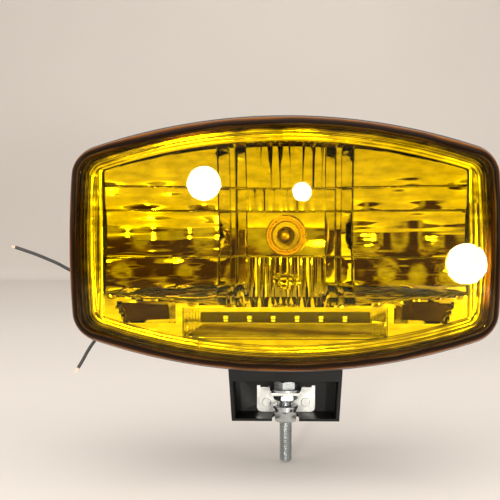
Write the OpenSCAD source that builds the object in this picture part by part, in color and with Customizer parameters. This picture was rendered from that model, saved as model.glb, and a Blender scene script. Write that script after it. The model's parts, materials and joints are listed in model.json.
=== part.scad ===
// Rectangular fog light with a bowed amber glass, a faceted reflector, a halogen bulb and a row of
// position LEDs, on a hollow foot with an M10 stud.
// Millimetres. +Z is up along the stud, the glass faces -Y and +X is to the right seen from in front.
// The origin is on the stud's axis, where the lower nut seats on the vehicle.

/* [Lamp] */
// Width of the housing's rim
rim_w = 320; // [240:1:380]
// Height of the rim at its middle
rim_h = 190; // [150:1:230]
// Radius of the bowed top and bottom edges
bow_r = 450; // [350:5:900]
// Radius of the slightly bowed side edges
side_r = 700; // [500:10:1500]
// Radius of the rim's four corners
corner_r = 24; // [16:1:30]
// Height of the lamp's middle above the mounting plane
lamp_z = 143; // [140:1:190]
// How far the glass stands in front of the stud
glass_front = 65; // [55:1:80]
// Thickness of the glass
glass_t = 4; // [3:0.5:6]
// Wall of the housing
shell_t = 2.6; // [2:0.2:4]

/* [Reflector] */
// Half width of the reflector's opening
mirror_half_w = 137; // [110:1:150]
// Half height of the reflector's opening at its middle
mirror_half_h = 77; // [60:1:85]
// Height of the bulb above the lamp's middle
bulb_up = 6; // [0:0.5:10]
// Half width of the sunk middle column
column_half_w = 32; // [20:1:45]
// How far the middle column is sunk behind the wings
column_sink = 12; // [4:1:20]

/* [Position light] */
// Number of LEDs
led_count = 6; // [2:1:10]
// Distance between LEDs
led_pitch = 18.5; // [10:0.5:25]
// Half width of the LED trough
trough_half_w = 78; // [50:1:95]

/* [Foot] */
// Width of the foot at its top
foot_w = 90.6; // [70:0.1:120]
// Width of the foot at its bottom
foot_low_w = 85.2; // [60:0.1:120]
// Height of the pivot bolt above the mounting plane
pivot_z = 50.6; // [50:0.1:60]
// Width of the notch that the stud's nut stands in
notch_w = 21.4; // [20.6:0.2:34]
// Length of bare stud below the mounting plane
stud_below = 32; // [20:1:60]

/* [Rear cover] */
// Outer radius of the cover's flange
cover_r = 54; // [48:1:60]
// Number of grip ribs round the cover
grip_count = 24; // [12:1:36]

/* [Hidden] */
$fn = 48;
gap = 0.3;
eps = 0.02;

// Steps round a quarter of the rim's outline.
side_steps = 3;
corner_steps = 5;
bow_steps = 6;

rim_front = -50;
rim_back = -41;
glass_seat = -43.5;
collar_front = 26;
collar_back = 44;
collar_out_r = 53;
collar_in_r = 46;
bulb_z = lamp_z + bulb_up;
bulb_seat = 16;
mirror_front = -42;

// The foot stands a little above the mounting plane, so the nut alone carries the lamp.
foot_z = 2;
foot_top = 43;
foot_front = -11;
foot_back = 18.5;
foot_wall = 2.8;
foot_floor = 2;
fascia_z = 33.5;
ear_in = 17;
ear_out = 24;
pivot_y = 5;
pivot_r = 4;
ear_r = 7.2;

// Heights of the stack on the stud, from the mounting plane up.
nut_h = 8.4;
spring_washer_h = 2.2;
washer_h = 2;
thin_nut_z = 17;
rivet_z = foot_z + 10;
thin_nut_h = 5;
strap_t = 2.5;
strap_z = thin_nut_z + thin_nut_h;
head_washer_z = strap_z + strap_t;
head_z = head_washer_z + washer_h;
head_h = 6.4;
stud_r = 5;
// Inside the nuts the thread is a plain cylinder at its mean radius.
thread_r = 4.5;
bore_r = 4.55;
washer_bore_r = 5.25;
hex_r = 17 / 2 / cos(30);

led_z = lamp_z - 57.5;
trough_low = lamp_z - 72.5;
trough_high = lamp_z - 47.5;
trough_front = -36;
trough_back = -17;

lead_r = 1.4;
core_r = 0.7;
// Route of each lead from inside the housing, through its grommet, to its free end.
grommet_1 = [-116, 6, lamp_z - 18];
grommet_2 = [-112, 6, lamp_z - 44];
function through(g) = [for (y = [-20, -10, 0, 8, 14]) g + [0, y, 0]];
lead_1_route = concat(
    [[-4, 40.1, bulb_z], [-6, 45, bulb_z], [-18, 44, bulb_z - 2], [-32, 32, bulb_z - 4], [-40, 18, bulb_z - 6],
     [-56, 9, bulb_z - 9], [-84, 0, bulb_z - 16]],
    through(grommet_1),
    [[-130, 28, lamp_z - 22], [-148, 32, lamp_z - 28], [-165, 32, lamp_z - 30], [-179, 31, lamp_z - 25.5],
     [-193, 30, lamp_z - 18], [-203, 29, lamp_z - 13.5], [-214, 28, lamp_z - 9], [-228, 26, lamp_z - 4]]);
lead_2_route = concat(
    [[-64, -16.2, lamp_z - 62], [-64, -8, lamp_z - 62], [-82, -4, lamp_z - 56]],
    through(grommet_2),
    [[-122, 27, lamp_z - 51], [-136, 31, lamp_z - 60], [-149, 32, lamp_z - 69], [-159, 31, lamp_z - 79],
     [-167, 30, lamp_z - 90], [-172.5, 29, lamp_z - 100], [-176, 28, lamp_z - 106]]);

// ---------- outlines ----------

// Where two circles cross, on the upper right.
function crossing(p, pr, q, qr) =
    let (d = norm(q - p),
         u = (q - p) / d,
         a = (pr * pr - qr * qr + d * d) / (2 * d),
         h = sqrt(max(0, pr * pr - a * a)))
    p + a * u + h * [u[1], -u[0]];

function on_circle(c, r, angle) = c + r * [cos(angle), sin(angle)];

// A quarter of a bowed outline, from its right side up to its top.
function quarter(hw, hh, top_r, side_r, r) =
    let (top_c = [0, hh - top_r],
         side_c = [hw - side_r, 0],
         c = crossing(top_c, top_r - r, side_c, side_r - r),
         a_side = atan2(c[1], c[0] - side_c[0]),
         a_top = atan2(c[1] - top_c[1], c[0]))
    concat(
        [for (i = [0:side_steps - 1]) on_circle(side_c, side_r, a_side * i / side_steps)],
        [for (i = [0:corner_steps - 1]) on_circle(c, r, a_side + (a_top - a_side) * i / corner_steps)],
        [for (i = [0:bow_steps]) on_circle(top_c, top_r, a_top + (90 - a_top) * i / bow_steps)]);

// The whole outline, as points round the middle.
function outline(hw, hh, top_r, side_r, r) =
    let (q = quarter(hw, hh, top_r, side_r, r), n = len(q))
    concat(q,
           [for (i = [n - 2:-1:0]) [-q[i][0], q[i][1]]],
           [for (i = [1:n - 1]) [-q[i][0], -q[i][1]]],
           [for (i = [n - 2:-1:1]) [q[i][0], -q[i][1]]]);

// The rim's outline, drawn in by some distance.
function rim(inset) =
    outline(rim_w / 2 - inset, rim_h / 2 - inset, bow_r - inset, side_r - inset, corner_r - inset);

// The opening of the reflector.
function mirror_edge(grow) =
    outline(mirror_half_w + grow, mirror_half_h + grow, 440 + grow, 900 + grow, 7 + grow);

function at_depth(ring, y) = [for (p = ring) [p[0], y, lamp_z + p[1]]];
function scaled(ring, s) = [for (p = ring) p * s];

// A ring of the bowl, from the rim (t = 0) to the back (t = 1). Its width falls sooner than its height.
function mixed(a, b, t) = a + (b - a) * t;
function bowl_ring(t, inset) =
    let (wide = pow(t, 1.1), tall = t * t * (0.45 + 0.55 * t))
    outline(mixed(153, 62, wide) - inset, mixed(88, 59, tall) - inset, mixed(430, 68, tall) - inset,
            mixed(690, 76, wide) - inset, mixed(19, 42, wide) - inset);
bowl_steps = 9;
function bowl_depth(t) = -39 + 66 * sin(90 * t) - 3 * t;

// ---------- shared modules ----------

// A solid whose surface runs through rings of points and closes on itself.
module closed_skin(rings) {
    n = len(rings[0]);
    m = len(rings);
    polyhedron(
        points = [for (r = rings) each r],
        faces = [for (i = [0:m - 1]) for (j = [0:n - 1]) for (half = [0, 1])
            let (a = i * n + j, b = i * n + (j + 1) % n, c = ((i + 1) % m) * n + j,
                 d = ((i + 1) % m) * n + (j + 1) % n)
            half == 0 ? [a, b, c] : [b, d, c]]);
}

module along_y(r, y0, y1) {
    translate([0, y1, 0]) rotate([90, 0, 0]) cylinder(r = r, h = y1 - y0);
}

module along_x(r, x0, x1) {
    translate([x0, 0, 0]) rotate([0, 90, 0]) cylinder(r = r, h = x1 - x0);
}

module box_between(low, high) {
    translate(low) cube(high - low);
}

// A flat plate in the lamp's plane, between two depths.
module plate(points, y0, y1) {
    translate([0, y1, lamp_z]) rotate([90, 0, 0]) linear_extrude(height = y1 - y0) polygon(points);
}

module hex(h, across_r = hex_r) {
    cylinder(r = across_r, h = h, $fn = 6);
}

module ring(r_out, r_in, h) {
    difference() {
        cylinder(r = r_out, h = h);
        translate([0, 0, -1]) cylinder(r = r_in, h = h + 2);
    }
}

// A round lead swept along a route of points.
function spline_at(p, i, t) =
    let (a = p[max(i - 1, 0)], b = p[i], c = p[i + 1], d = p[min(i + 2, len(p) - 1)])
    0.5 * (2 * b + (c - a) * t + (2 * a - 5 * b + 4 * c - d) * t * t
           + (3 * b - a - 3 * c + d) * t * t * t);
function smooth_route(p, steps) =
    concat([for (i = [0:len(p) - 2]) for (k = [0:steps - 1]) spline_at(p, i, k / steps)],
           [p[len(p) - 1]]);
function direction(p, i) =
    let (v = p[min(i + 1, len(p) - 1)] - p[max(i - 1, 0)]) v / norm(v);
// A direction across the path at each point, carried along so that the tube doesn't twist.
function across(path, i = 0, last = [0, 0, 1]) =
    i >= len(path) ? [] :
    let (along = direction(path, i), v = last - (last * along) * along, u = v / norm(v))
    concat([u], across(path, i + 1, u));
function lead_ring(centre, along, u, r, sides) =
    let (w = cross(u, along))
    [for (k = [0:sides - 1]) centre + r * (cos(360 * k / sides) * u + sin(360 * k / sides) * w)];

module swept(path, r, sides = 8) {
    m = len(path);
    sideways = across(path);
    polyhedron(
        points = [for (i = [0:m - 1]) each lead_ring(path[i], direction(path, i), sideways[i], r, sides)],
        faces = concat(
            [[for (k = [sides - 1:-1:0]) k]],
            [for (i = [0:m - 2]) for (k = [0:sides - 1]) for (half = [0, 1])
                let (a = i * sides + k, b = i * sides + (k + 1) % sides, c = a + sides, d = b + sides)
                half == 0 ? [a, b, c] : [b, d, c]],
            [[for (k = [0:sides - 1]) (m - 1) * sides + k]]));
}

// ---------- lamp head ----------

// The bowl with its rim and the channel that the glass sits in.
module housing_bowl() {
    outer = [for (i = [0:bowl_steps])
        let (t = i / bowl_steps) at_depth(bowl_ring(t, 0), bowl_depth(t))];
    inner = [for (i = [bowl_steps:-1:0])
        let (t = i / bowl_steps) at_depth(bowl_ring(t, shell_t), bowl_depth(t) - shell_t * t)];
    back = [at_depth(bowl_ring(1, 12), bowl_depth(1)), at_depth(bowl_ring(1, 12), bowl_depth(1) - shell_t)];
    closed_skin(concat(
        [at_depth(rim(0.9), rim_front), at_depth(rim(0), rim_front), at_depth(rim(0), rim_back)],
        outer, back, inner,
        [at_depth(rim(11.5), glass_seat), at_depth(rim(0.9), glass_seat)]));
}

module housing() color([0.05, 0.05, 0.05]) {
    difference() {
        union() {
            housing_bowl();
            collar();
            keel();
            for (g = [grommet_1, grommet_2]) translate(g) along_y(8, -10, 2);
            breather_boss();
        }
        translate([0, 0, bulb_z]) along_y(collar_in_r, 10, collar_back + 1);
        bayonet_groove();
        translate([0, pivot_y, pivot_z]) along_x(pivot_r + 0.15, -30, 30);
        for (g = [grommet_1, grommet_2]) translate(g) along_y(4, -30, 20);
        translate([62, 0, lamp_z + 30]) along_y(2, 0, 40);
    }
}

// The round collar that the rear cover locks into.
module collar() {
    translate([0, 0, bulb_z]) along_y(collar_out_r, collar_front - 8, collar_back);
}

bayonet_count = 3;
bayonet_turn = 30;
groove_r = 49.5;

module bayonet_groove() {
    translate([0, 0, bulb_z]) {
        along_y(groove_r, 32, 38);
        for (i = [0:bayonet_count - 1]) rotate([0, 120 * i + bayonet_turn, 0])
            box_between([-9, 36, 30], [9, collar_back + 2, groove_r - 0.5]);
    }
}

// The tongue under the bowl that hangs on the pivot bolt.
module keel() {
    half = ear_in - gap;
    translate([-half, 0, 0]) rotate([90, 0, 90]) linear_extrude(height = 2 * half)
        polygon([[-12, lamp_z - 85], [pivot_y - 6, pivot_z], [pivot_y + 6, pivot_z], [19, lamp_z - 73.4],
                 [14, lamp_z - 76.8], [6, lamp_z - 81]]);
    translate([0, pivot_y, pivot_z]) along_x(ear_r - 0.2, -half, half);
}

module breather_boss() {
    translate([62, 0, lamp_z + 30]) along_y(7, 8, 26);
}

// A shallow dish of glass with a rounded shoulder.
module front_lens() color([0.95, 0.75, 0.05, 0.6]) {
    face = rim(14);
    y = -glass_front;
    outer = concat(
        [at_depth(rim(1.2), glass_seat - gap), at_depth(rim(1.2), y + 14), at_depth(rim(1.9), y + 10),
         at_depth(rim(4), y + 6), at_depth(rim(7.5), y + 3.4), at_depth(rim(11), y + 2.6)],
        [for (s = [1, 0.8, 0.6, 0.4, 0.2]) at_depth(scaled(face, s), y + 2.2 * s * s)]);
    inner = concat(
        [for (s = [0.2, 0.4, 0.6, 0.8, 0.97]) at_depth(scaled(face, s), y + glass_t + 2.2 * s * s)],
        [at_depth(rim(12), y + glass_t + 3.4), at_depth(rim(8.5), y + glass_t + 5.4),
         at_depth(rim(6.4), y + glass_t + 9.5), at_depth(rim(5.6), glass_seat - gap)]);
    dish(outer, inner);
}

// A bowl-shaped solid: outer rings run to the middle, inner rings run back out.
module dish(outer, inner) {
    rings = concat(outer, inner);
    n = len(rings[0]);
    k = len(outer);
    m = len(rings);
    front = m * n;
    back = m * n + 1;
    y_front = outer[k - 1][0][1] - 0.05;
    y_back = inner[0][0][1] - 0.05;
    polyhedron(
        points = concat([for (r = rings) each r], [[0, y_front, lamp_z], [0, y_back, lamp_z]]),
        faces = concat(
            [for (i = [0:m - 1]) if (i != k - 1) for (j = [0:n - 1]) for (half = [0, 1])
                let (a = i * n + j, b = i * n + (j + 1) % n, c = ((i + 1) % m) * n + j,
                     d = ((i + 1) % m) * n + (j + 1) % n)
                half == 0 ? [a, c, b] : [b, c, d]],
            [for (j = [0:n - 1]) [(k - 1) * n + (j + 1) % n, (k - 1) * n + j, front]],
            [for (j = [0:n - 1]) [k * n + j, k * n + (j + 1) % n, back]]));
}

module lens_sealant() color([0.08, 0.08, 0.08]) {
    plate_ring(5.9, 10.9, glass_seat - 2.4, glass_seat);
}

module plate_ring(inset_out, inset_in, y0, y1) {
    difference() {
        plate(rim(inset_out), y0, y1);
        plate(rim(inset_in), y0 - 1, y1 + 1);
    }
}

// Depth of the mirror at a point given from the lamp's middle.
function wing_depth(x, z) = 2 - x * x / 520 - pow(z - bulb_up, 2) / 280;
function column_part(x) = max(0, min(1, (column_half_w + 14 - abs(x)) / 14));
function shelf_part(z) = max(0, min(1, (-38 - z) / 34));
function mirror_depth(x, z) =
    let (open = wing_depth(x, z) + column_sink * column_part(x))
    max(mirror_front + 2, open + (mirror_front + 3 - open) * shelf_part(z));
function mirror_top(x) = mirror_half_h - 440 + sqrt(440 * 440 - x * x);

mirror_x = [-mirror_half_w, -136.9, -120, -100, -80, -62, -column_half_w - 14, -39, -column_half_w, -16, 0, 16,
            column_half_w, 39, column_half_w + 14, 62, 80, 100, 120, 136.9, mirror_half_w];
mirror_rows = 14;
function mirror_v(j) =
    j == 0 ? -1 : j == mirror_rows ? 1 : -0.999 + 1.998 * (j - 1) / (mirror_rows - 2);
function mirror_point(i, j) =
    let (edge = i == 0 || i == len(mirror_x) - 1 || j == 0 || j == mirror_rows,
         x = mirror_x[i],
         z = mirror_v(j) * mirror_top(x))
    [x, edge ? mirror_front : mirror_depth(x, z), z];
function raised(p) = [p[0], p[1], p[2] + lamp_z];
function backed(p) = [p[0] * 1.012, p[1] + 2, p[2] * 1.022];

// The mirrored sheet itself, with its side walls.
module mirror_sheet() {
    nx = len(mirror_x);
    nz = mirror_rows + 1;
    front = [for (i = [0:nx - 1]) for (j = [0:nz - 1]) mirror_point(i, j)];
    size = nx * nz;
    grid = function (i, j) i * nz + j;
    border = concat([for (i = [0:nx - 2]) grid(i, 0)], [for (j = [0:nz - 2]) grid(nx - 1, j)],
                    [for (i = [nx - 1:-1:1]) grid(i, nz - 1)], [for (j = [nz - 1:-1:1]) grid(0, j)]);
    count = len(border);
    polyhedron(
        points = concat([for (p = front) raised(p)], [for (p = front) raised(backed(p))]),
        faces = concat(
            [for (i = [0:nx - 2]) for (j = [0:nz - 2]) for (half = [0, 1])
                let (a = grid(i, j), b = grid(i + 1, j), c = grid(i, j + 1), d = grid(i + 1, j + 1))
                half == 0 ? [a, c, b] : [b, c, d]],
            [for (i = [0:nx - 2]) for (j = [0:nz - 2]) for (half = [0, 1])
                let (a = size + grid(i, j), b = size + grid(i + 1, j), c = size + grid(i, j + 1),
                     d = size + grid(i + 1, j + 1))
                half == 0 ? [a, b, c] : [b, d, c]],
            [for (k = [0:count - 1]) for (half = [0, 1])
                let (a = border[k], b = border[(k + 1) % count])
                half == 0 ? [a, b, size + a] : [b, size + b, size + a]]));
}

module reflector() color([0.85, 0.85, 0.85]) {
    difference() {
        union() {
            mirror_sheet();
            difference() {
                plate(rim(11.8), mirror_front - 0.5, mirror_front + 1.6);
                plate(mirror_edge(0.6), mirror_front - 3, mirror_front + 5);
            }
            translate([0, 0, bulb_z]) along_y(16.5, 11.5, bulb_seat);
            for (side = [-1, 1]) clip_post(side);
        }
        translate([0, 0, bulb_z]) along_y(11.5, 0, 30);
        translate([-trough_half_w - gap, -60, trough_low - gap])
            cube([2 * trough_half_w + 2 * gap, 70, trough_high - trough_low + 2 * gap]);
    }
}

clip_axis_y = bulb_seat + 3.2;
clip_axis_z = bulb_z + 19;
clip_arm_x = 10;
clip_wire_r = 0.8;

// A post on the reflector's back that holds one end of the clip.
module clip_post(side) {
    difference() {
        translate([side * 14.5, 0, 0])
            box_between([-2, 13.4, clip_axis_z - 3], [2, clip_axis_y + 3, clip_axis_z + 3]);
        translate([side * 14.5, clip_axis_y, clip_axis_z]) along_x(clip_wire_r + 0.2, -3, 3);
    }
}

module reflector_screws() color([0.7, 0.7, 0.7]) {
    for (side = [-1, 1]) for (up = [-1, 1])
        translate([side * 58, 0, lamp_z + up * 77.2]) {
            along_y(2, mirror_front + 1.7, mirror_front + 3.5);
            along_y(1.2, mirror_front + 3.4, mirror_front + 10);
        }
}

// ---------- position light ----------

module led_trough() color([0.85, 0.85, 0.85]) {
    wall = 1.4;
    difference() {
        box_between([-trough_half_w, trough_front, trough_low], [trough_half_w, trough_back, trough_high]);
        box_between([-trough_half_w + wall, trough_front - 1, trough_low + wall],
                    [trough_half_w - wall, trough_back - wall, trough_high - wall]);
        for (side = [-1, 1]) translate([side * 55, 0, led_z]) along_y(1.6, trough_back - 5, trough_back + 1);
    }
    // A mirrored ledge just under the LEDs.
    box_between([-trough_half_w + 0.7, trough_front + 6, led_z - 3.7],
                [trough_half_w - 0.7, board_front - gap, led_z - 2.9]);
}

board_t = 1.6;
board_front = trough_back - 1.4 - board_t - 1;

module led_board() color([0.1, 0.25, 0.12]) {
    box_between([-66, board_front, led_z - 4], [66, board_front + board_t, led_z + 4]);
}

module leds() color([0.95, 0.9, 0.6]) {
    for (i = [0:led_count - 1])
        translate([(i - (led_count - 1) / 2) * led_pitch, 0, led_z])
            box_between([-1.75, board_front - 1.9, -1.4], [1.75, board_front, 1.4]);
}

module led_resistors() color([0.1, 0.1, 0.1]) {
    for (i = [0:led_count / 2 - 1])
        translate([(i - (led_count / 2 - 1) / 2) * 2 * led_pitch, 0, led_z])
            box_between([-1.6, board_front - 0.6, -0.8], [1.6, board_front, 0.8]);
}

// The clear bar that closes the trough, with a thicker block at each end.
module led_window() color([0.9, 0.9, 0.9, 0.4]) {
    half = trough_half_w - 1.7;
    box_between([-half, trough_front + 0.5, trough_low + 1.7], [half, trough_front + 2.5, trough_high - 1.7]);
    for (side = [-1, 1]) for (i = [0:3])
        translate([side * (half - 2 - 2.4 * i), 0, 0])
            box_between([-1, trough_front + 2.4, trough_low + 1.7], [1, trough_front + 5, trough_high - 1.7]);
}

// ---------- bulb ----------

module bulb_glass() color([0.9, 0.9, 0.9, 0.5]) {
    translate([0, 0, bulb_z]) rotate([90, 0, 0]) rotate_extrude()
        polygon([[0, 22], [5, 21.2], [6.1, 19], [6.1, -8.5], [5.3, -8.5], [5.3, 18.4], [4.4, 20.2], [0, 21]]);
}

module bulb_filament() color([0.8, 0.75, 0.7]) {
    translate([0, 0, bulb_z]) {
        along_y(0.8, -9.3, -5);
        for (side = [-1, 1]) translate([side * 2.6, 0, 0]) along_y(0.35, -9.5, 8.4);
        for (y = [-9.4, -5]) translate([0, y, 0]) along_x(0.35, y < -7 ? -2.6 : 0, y < -7 ? 0 : 2.6);
    }
}

module bulb_base() color([0.75, 0.75, 0.77]) {
    translate([0, 0, bulb_z]) difference() {
        union() {
            along_y(7.2, 4, bulb_seat);
            along_y(13, bulb_seat, bulb_seat + 1.5);
        }
        along_y(6.2, 3, 8.6);
    }
}

module bulb_socket() color([0.35, 0.2, 0.1]) {
    translate([0, 0, bulb_z]) difference() {
        along_y(7.6, bulb_seat + 1.5, bulb_seat + 7);
        for (side = [-1, 1]) translate([side * 4, 0, 0])
            box_between([-0.4, 0, -3.15], [0.4, 40, 3.15]);
    }
}

module bulb_terminals() color([0.8, 0.8, 0.82]) {
    for (side = [-1, 1]) translate([side * 4, 0, bulb_z])
        box_between([-0.4, bulb_seat + 1.5, -3.15], [0.4, bulb_seat + 16, 3.15]);
}

module bulb_connector() color([0.9, 0.88, 0.8]) {
    difference() {
        box_between([-7.5, bulb_seat + 7.3, bulb_z - 6], [7.5, bulb_seat + 24, bulb_z + 6]);
        for (side = [-1, 1]) translate([side * 4, 0, bulb_z])
            box_between([-0.4, 0, -3.15], [0.4, bulb_seat + 16, 3.15]);
    }
}

// The wire that presses the bulb's flange home. It swings on its two bent ends.
module bulb_clip() color([0.75, 0.75, 0.78]) {
    for (side = [-1, 1]) {
        translate([0, clip_axis_y, clip_axis_z])
            along_x(clip_wire_r, side < 0 ? -16 : clip_arm_x - clip_wire_r, side < 0 ? -clip_arm_x + clip_wire_r : 16);
        translate([side * clip_arm_x, clip_axis_y, clip_axis_z - 38]) cylinder(r = clip_wire_r, h = 38);
    }
    translate([0, clip_axis_y, clip_axis_z - 38]) along_x(clip_wire_r, -clip_arm_x, clip_arm_x);
}

// ---------- rear cover ----------

module rear_cover() color([0.06, 0.06, 0.06]) {
    translate([0, 0, bulb_z]) {
        difference() {
            union() {
                along_y(cover_r, collar_back + 1.5, collar_back + 4.5);
                along_y(30, collar_back + 4.4, collar_back + 9);
                for (i = [0:grip_count - 1]) rotate([0, 360 * i / grip_count, 0])
                    translate([0, collar_back + 1.5, cover_r - 1.5]) rotate([-90, 0, 0]) cylinder(r = 2.4, h = 6);
                along_y(collar_in_r - 0.6, 31, collar_back + 2);
                for (i = [0:bayonet_count - 1]) rotate([0, 120 * i, 0])
                    intersection() {
                        along_y(groove_r - 0.6, 33, 37);
                        box_between([-7.5, 30, 30], [7.5, 40, 60]);
                    }
            }
            along_y(collar_in_r - 3, 30, collar_back + 2);
            along_y(27.5, collar_back, collar_back + 6.5);
        }
    }
}

module cover_seal() color([0.1, 0.1, 0.1]) {
    translate([0, 0, bulb_z]) difference() {
        along_y(51.5, collar_back + 0.1, collar_back + 1.5);
        along_y(collar_in_r - 0.5, collar_back - 1, collar_back + 3);
    }
}

module breather() color([0.12, 0.12, 0.12]) {
    translate([62, 0, lamp_z + 30]) {
        along_y(1.9, 18, 26);
        along_y(5.5, 26, 30);
    }
}

module grommets() color([0.1, 0.1, 0.1]) {
    for (g = [grommet_1, grommet_2]) translate(g) difference() {
        union() {
            along_y(3.9, -10, 2.5);
            along_y(6, 2.1, 6);
        }
        along_y(lead_r + 0.3, -11, 7);
    }
}

// ---------- leads ----------

module lead_1() color([0.05, 0.05, 0.05]) swept(smooth_route(lead_1_route, 4), lead_r);
module lead_2() color([0.05, 0.05, 0.05]) swept(smooth_route(lead_2_route, 4), lead_r);

// The bare strands that show past the end of a lead's sleeve.
module bare_end(route, length) {
    n = len(route);
    last = route[n - 1];
    along = (last - route[n - 2]) / norm(last - route[n - 2]);
    start = last + along * eps;
    turn = acos(along[2]);
    translate(start) rotate([0, turn, atan2(along[1], along[0])]) cylinder(r = core_r, h = length);
}

module lead_1_core() color([0.8, 0.45, 0.3]) bare_end(lead_1_route, 3);
module lead_2_core() color([0.8, 0.45, 0.3]) bare_end(lead_2_route, 5);

// ---------- foot ----------

function foot_half(z) = (foot_low_w + (foot_w - foot_low_w) * (z - foot_z) / (foot_top - foot_z)) / 2;

module foot_block(inset, y0, y1, z0, z1) {
    translate([0, y1, 0]) rotate([90, 0, 0]) linear_extrude(height = y1 - y0)
        polygon([[-foot_half(z0) + inset, z0], [foot_half(z0) - inset, z0],
                 [foot_half(z1) - inset, z1], [-foot_half(z1) + inset, z1]]);
}

module foot_shoe() color([0.05, 0.05, 0.05]) {
    difference() {
        union() {
            difference() {
                foot_block(0, foot_front, foot_back, foot_z, foot_top);
                foot_block(foot_wall, foot_front - 1, foot_back - foot_wall, foot_z + foot_floor, fascia_z);
                foot_block(foot_wall, foot_front + foot_wall, foot_back - foot_wall, fascia_z - 1,
                           foot_top - foot_wall);
            }
            for (side = [-1, 1]) ear(side);
        }
        box_between([-notch_w / 2, foot_front - 1, foot_z - 1], [notch_w / 2, 0, foot_z + foot_floor + 1]);
        cylinder(r = notch_w / 2, h = foot_z + foot_floor + 1);
        translate([0, pivot_y, pivot_z]) along_x(pivot_r + 0.1, -30, 30);
        for (side = [-1, 1]) translate([side * 16, 0, rivet_z]) along_y(2.1, foot_back - 5, foot_back + 1);
    }
}

module ear(side) {
    x0 = side < 0 ? -ear_out : ear_in;
    translate([x0, pivot_y, pivot_z]) along_x(ear_r, 0, ear_out - ear_in);
    box_between([x0, pivot_y - ear_r + 1, foot_top - 2], [x0 + ear_out - ear_in, pivot_y + ear_r - 1, pivot_z]);
}

module strap() color([0.78, 0.78, 0.75]) {
    web_back = foot_back - foot_wall;
    web_low = foot_z + foot_floor;
    difference() {
        union() {
            box_between([-24, web_back - strap_t, web_low + 4], [24, web_back, strap_z + strap_t]);
            for (side = [-1, 1]) horn(side, web_back);
            box_between([-20, web_back - strap_t, web_low], [20, web_back, strap_z]);
            box_between([-11.5, -11, strap_z], [11.5, web_back, strap_z + strap_t]);
            for (side = [-1, 1]) translate([side * 20, 0, web_low + 4]) along_y(4, web_back - strap_t, web_back);
        }
        cylinder(r = washer_bore_r, h = 60);
        for (side = [-1, 1]) translate([side * 16, 0, rivet_z]) along_y(2.1, 10, foot_back);
    }
}

// A small upright tab at an upper corner of the strap's web.
module horn(side, web_back) {
    x0 = side < 0 ? -24 : 21;
    box_between([x0, web_back - strap_t, strap_z], [x0 + 3, web_back, strap_z + strap_t + 1.5]);
}

module strap_rivets() color([0.75, 0.75, 0.75]) {
    for (side = [-1, 1]) translate([side * 16, 0, rivet_z]) {
        along_y(2, foot_back - foot_wall - strap_t - 1.4, foot_back + 1.4);
        along_y(3.6, foot_back - foot_wall - strap_t - 1.4, foot_back - foot_wall - strap_t);
        along_y(3.6, foot_back, foot_back + 1.4);
    }
}

module stud_bolt() color([0.75, 0.77, 0.78]) {
    translate([0, 0, -stud_below]) cylinder(r = stud_r, h = stud_below);
    translate([0, 0, -eps]) cylinder(r = thread_r, h = head_z + 1);
    translate([0, 0, head_z]) hex(head_h);
}

module head_washer() color([0.78, 0.78, 0.78]) {
    translate([0, 0, head_washer_z]) ring(13, washer_bore_r, washer_h);
}

module strap_nut() color([0.75, 0.75, 0.75]) {
    translate([0, 0, thin_nut_z]) difference() {
        hex(thin_nut_h);
        translate([0, 0, -1]) cylinder(r = bore_r, h = thin_nut_h + 2);
    }
}

module flat_washer() color([0.78, 0.78, 0.78]) {
    translate([0, 0, nut_h + spring_washer_h]) ring(10.2, washer_bore_r, washer_h);
}

module spring_washer() color([0.7, 0.7, 0.7]) {
    translate([0, 0, nut_h]) difference() {
        ring(9, washer_bore_r, spring_washer_h);
        rotate([0, 0, -60]) box_between([4, -0.8, -1], [10, 0.8, 4]);
    }
}

module stud_nut() color([0.75, 0.75, 0.75]) {
    difference() {
        hex(nut_h);
        translate([0, 0, -1]) cylinder(r = bore_r, h = nut_h + 2);
    }
}

module pivot_bolt() color([0.75, 0.75, 0.75]) {
    translate([0, pivot_y, pivot_z]) {
        along_x(pivot_r, -ear_out - 10, ear_out + 1.6);
        translate([ear_out + 1.6, 0, 0]) rotate([0, 90, 0]) hex(5.3, 13 / 2 / cos(30));
    }
}

module pivot_washers() color([0.78, 0.78, 0.78]) {
    for (x = [-ear_out - 1.6, ear_out]) translate([x, pivot_y, pivot_z]) rotate([0, 90, 0])
        ring(7.3, pivot_r, 1.6);
}

module pivot_nut() color([0.75, 0.75, 0.75]) {
    translate([-ear_out - 1.6 - 6.8, pivot_y, pivot_z]) rotate([0, 90, 0]) difference() {
        hex(6.8, 13 / 2 / cos(30));
        translate([0, 0, -1]) cylinder(r = pivot_r, h = 9);
    }
}

housing();
front_lens();
lens_sealant();
reflector();
reflector_screws();
led_trough();
led_board();
leds();
led_resistors();
led_window();
bulb_glass();
bulb_filament();
bulb_base();
bulb_socket();
bulb_terminals();
bulb_connector();
bulb_clip();
rear_cover();
cover_seal();
breather();
grommets();
lead_1();
lead_2();
lead_1_core();
lead_2_core();
foot_shoe();
strap();
strap_rivets();
stud_bolt();
head_washer();
strap_nut();
flat_washer();
spring_washer();
stud_nut();
pivot_bolt();
pivot_washers();
pivot_nut();
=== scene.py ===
"""The looks, light and camera of a rectangular fog light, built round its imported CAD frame.

Shapes are worked out in millimetres, in the CAD's own frame, and turned into metres as each mesh is made.
"""

import json
import math

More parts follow.
